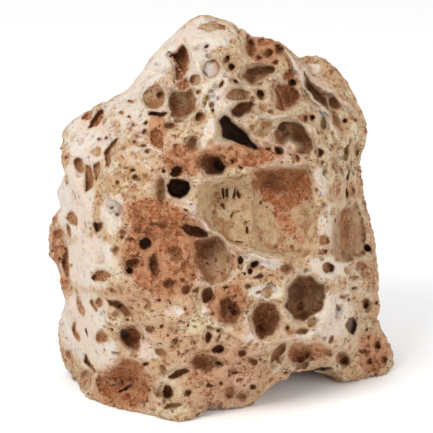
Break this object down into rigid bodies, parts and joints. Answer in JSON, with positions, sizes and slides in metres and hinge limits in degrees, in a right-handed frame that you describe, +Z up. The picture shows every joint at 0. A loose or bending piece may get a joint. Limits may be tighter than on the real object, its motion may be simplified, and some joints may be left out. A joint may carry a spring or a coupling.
{
  "type": "landscape rock",
  "caption": "Free-standing block of cream and rust honeycomb limestone, pitted with round holes, broken hollows and thin ridges, with a rounded peak and a flat broken base to rest on.",
  "frame": {"origin": "middle of the rock's box, on the flat base that it rests on", "axes": "+Z up, -Y out of the broad pitted front, +X to the right when that front is faced"},
  "size_m": [0.1786, 0.1242, 0.1906],
  "materials": {
    "limestone": "matte, porous and uneven"
  },
  "bodies": {
    "root": {"rock": "limestone"}
  },
  "joints": []
}
